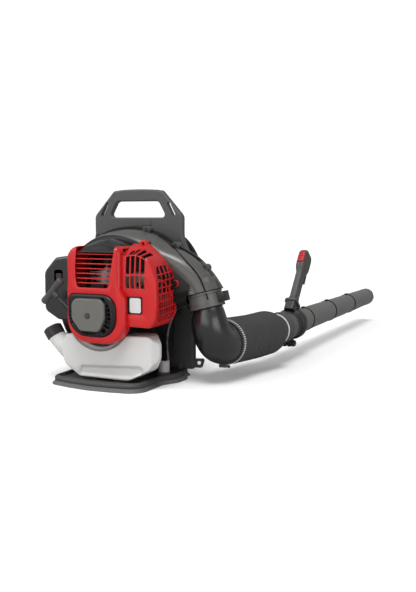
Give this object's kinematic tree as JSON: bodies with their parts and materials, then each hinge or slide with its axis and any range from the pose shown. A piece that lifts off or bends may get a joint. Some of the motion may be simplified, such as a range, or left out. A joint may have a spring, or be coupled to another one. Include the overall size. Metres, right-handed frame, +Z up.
{
  "type": "backpack leaf blower",
  "caption": "Backpack leaf blower with a small engine, fan housing, harness frame, flexible hose, straight blower tube and a control handle on the tube",
  "frame": {"origin": "On the base's rest face, in the plane of the crankshaft, under the fan's middle", "axes": "+X to the wearer's right, +Y forward along the blower tube, +Z up"},
  "size_m": [0.5229, 1.5397, 0.476],
  "materials": {
    "frame_plastic": "moulded, fine texture",
    "base_plastic": "moulded, fine texture",
    "housing_plastic": "moulded, satin",
    "tube_plastic": "moulded, satin",
    "handle_plastic": "moulded, fine texture",
    "starter_black": "moulded, glossy",
    "cap_black": "moulded, ribbed",
    "coil_black": "moulded",
    "buckle_plastic": "moulded",
    "disc_gray": "moulded, satin",
    "cover_red": "moulded, glossy",
    "switch_red": "moulded, glossy",
    "tank_white": "blow moulded, translucent",
    "mount_rubber": "moulded gray rubber",
    "soft_rubber": "moulded",
    "hose_rubber": "ribbed, satin",
    "pad_fabric": "woven mesh over foam",
    "rope_nylon": "braided",
    "filter_felt": "felt",
    "cast_aluminium": "cast",
    "bearing_steel": "machined",
    "screw_steel": "blackened",
    "clamp_steel": "bright",
    "muffler_steel": "pressed, heat stained"
  },
  "bodies": {
    "machine": {"back_frame": "frame_plastic", "base_skid": "base_plastic", "strap_loops": "frame_plastic", "vibration_mounts": "mount_rubber", "screws": "screw_steel", "back_pad": "pad_fabric", "shoulder_strap_left": "pad_fabric", "shoulder_strap_right": "pad_fabric", "strap_buckles": "buckle_plastic", "fan_housing_engine_half": "housing_plastic", "fan_housing_back_half": "housing_plastic", "intake_grille": "housing_plastic", "outlet_clamp": "housing_plastic", "elbow": "housing_plastic", "hose_clamp_rear": "clamp_steel", "crankcase": "cast_aluminium", "crank_bearings": "bearing_steel", "cylinder": "cast_aluminium", "spark_plug": "bearing_steel", "spark_plug_cap": "soft_rubber", "ignition_coil": "coil_black", "muffler": "muffler_steel", "intake_insulator": "coil_black", "carburetor": "cast_aluminium", "air_filter_base": "housing_plastic", "air_filter_element": "filter_felt", "air_filter_cover": "housing_plastic", "starter_housing": "starter_black", "starter_disc": "disc_gray", "recoil_spring": "bearing_steel", "engine_cover": "cover_red", "top_shroud": "starter_black", "fuel_tank": "tank_white", "fuel_lines": "soft_rubber"},
    "crank": {"crankshaft": "bearing_steel", "flywheel": "cast_aluminium", "impeller": "housing_plastic", "starter_cup": "bearing_steel"},
    "piston": {"piston": "cast_aluminium", "wrist_pin": "bearing_steel"},
    "rod": {"connecting_rod": "bearing_steel"},
    "reel": {"starter_reel": "handle_plastic"},
    "pull": {"starter_rope": "rope_nylon", "starter_handle": "handle_plastic"},
    "cap_seal": {"fuel_cap_seal": "soft_rubber"},
    "cap": {"fuel_cap": "cap_black"},
    "choke": {"choke_lever": "coil_black"},
    "primer": {"primer_bulb": "soft_rubber"},
    "hose_mid": {"hose_rear": "hose_rubber"},
    "hose_cuff": {"hose_front": "hose_rubber", "hose_clamp_front": "clamp_steel"},
    "tube": {"swivel_pipe": "tube_plastic", "straight_pipe_rear": "tube_plastic", "straight_pipe_front": "tube_plastic", "nozzle": "tube_plastic", "handle_clamp": "handle_plastic", "clamp_screw": "screw_steel", "handle_grip": "handle_plastic"},
    "trigger": {"throttle_trigger": "handle_plastic"},
    "switch": {"stop_switch": "switch_red"}
  },
  "joints": [
    {"name": "crank_spin", "type": "hinge", "parent": "machine", "child": "crank", "pos_m": [0, -0.072, 0.175], "axis": [0, 1, 0], "continuous": true},
    {"name": "piston_slide", "type": "slide", "parent": "machine", "child": "piston", "axis": [0, 0, 1], "range_m": [0, 0.034]},
    {"name": "rod_swing", "type": "hinge", "parent": "piston", "child": "rod", "pos_m": [0, -0.072, 0.218], "axis": [0, 1, 0], "range_deg": [-16.5, 16.5]},
    {"name": "starter_pull", "type": "slide", "parent": "machine", "child": "pull", "axis": [-0.7314, 0, 0.682], "range_m": [0, 0.6], "deforming": ["starter_rope"]},
    {"name": "starter_reel_spin", "type": "hinge", "parent": "machine", "child": "reel", "pos_m": [0, -0.1409, 0.175], "axis": [0, 1, 0], "range_deg": [0, 910]},
    {"name": "cap_lift", "type": "slide", "parent": "machine", "child": "cap_seal", "axis": [-0.5299, 0, 0.848], "range_m": [0, 0.006]},
    {"name": "cap_turn", "type": "hinge", "parent": "cap_seal", "child": "cap", "pos_m": [-0.15166, -0.085, 0.12307], "axis": [-0.5299, 0, 0.848], "range_deg": [0, 541]},
    {"name": "choke_turn", "type": "hinge", "parent": "machine", "child": "choke", "pos_m": [-0.121, -0.076, 0.26], "axis": [1, 0, 0], "range_deg": [-18, 18]},
    {"name": "primer_press", "type": "slide", "parent": "machine", "child": "primer", "axis": [0, 0, 1], "range_m": [0, 0.004], "stiffness_N_per_m": 400, "deforming": ["primer_bulb"]},
    {"name": "tube_yaw", "type": "hinge", "parent": "machine", "child": "hose_mid", "pos_m": [0.2484, 0.137, 0.096], "axis": [0, 0, 1], "range_deg": [-25, 25], "deforming": ["hose_rear"]},
    {"name": "tube_pitch", "type": "hinge", "parent": "hose_mid", "child": "hose_cuff", "pos_m": [0.278, 0.275, 0.096], "axis": [1, 0, 0], "range_deg": [-20, 20], "deforming": ["hose_front"]},
    {"name": "tube_swivel", "type": "hinge", "parent": "hose_cuff", "child": "tube", "pos_m": [0.281, 0.345, 0.096], "axis": [0, 1, 0], "range_deg": [-45, 45]},
    {"name": "throttle_pull", "type": "hinge", "parent": "tube", "child": "trigger", "pos_m": [0.281, 0.5967, 0.25093], "axis": [-1, 0, 0], "range_deg": [0, 15], "stiffness_Nm_per_rad": 0.15},
    {"name": "stop_press", "type": "slide", "parent": "tube", "child": "switch", "axis": [0, 0.766, -0.6428], "range_m": [0, 0.003], "stiffness_N_per_m": 400}
  ],
  "couplings": [
    {"joint": "starter_reel_spin", "follows": "starter_pull", "rad_per_m": 26.316},
    {"joint": "cap_turn", "follows": "cap_lift", "rad_per_m": 1570.8}
  ]
}
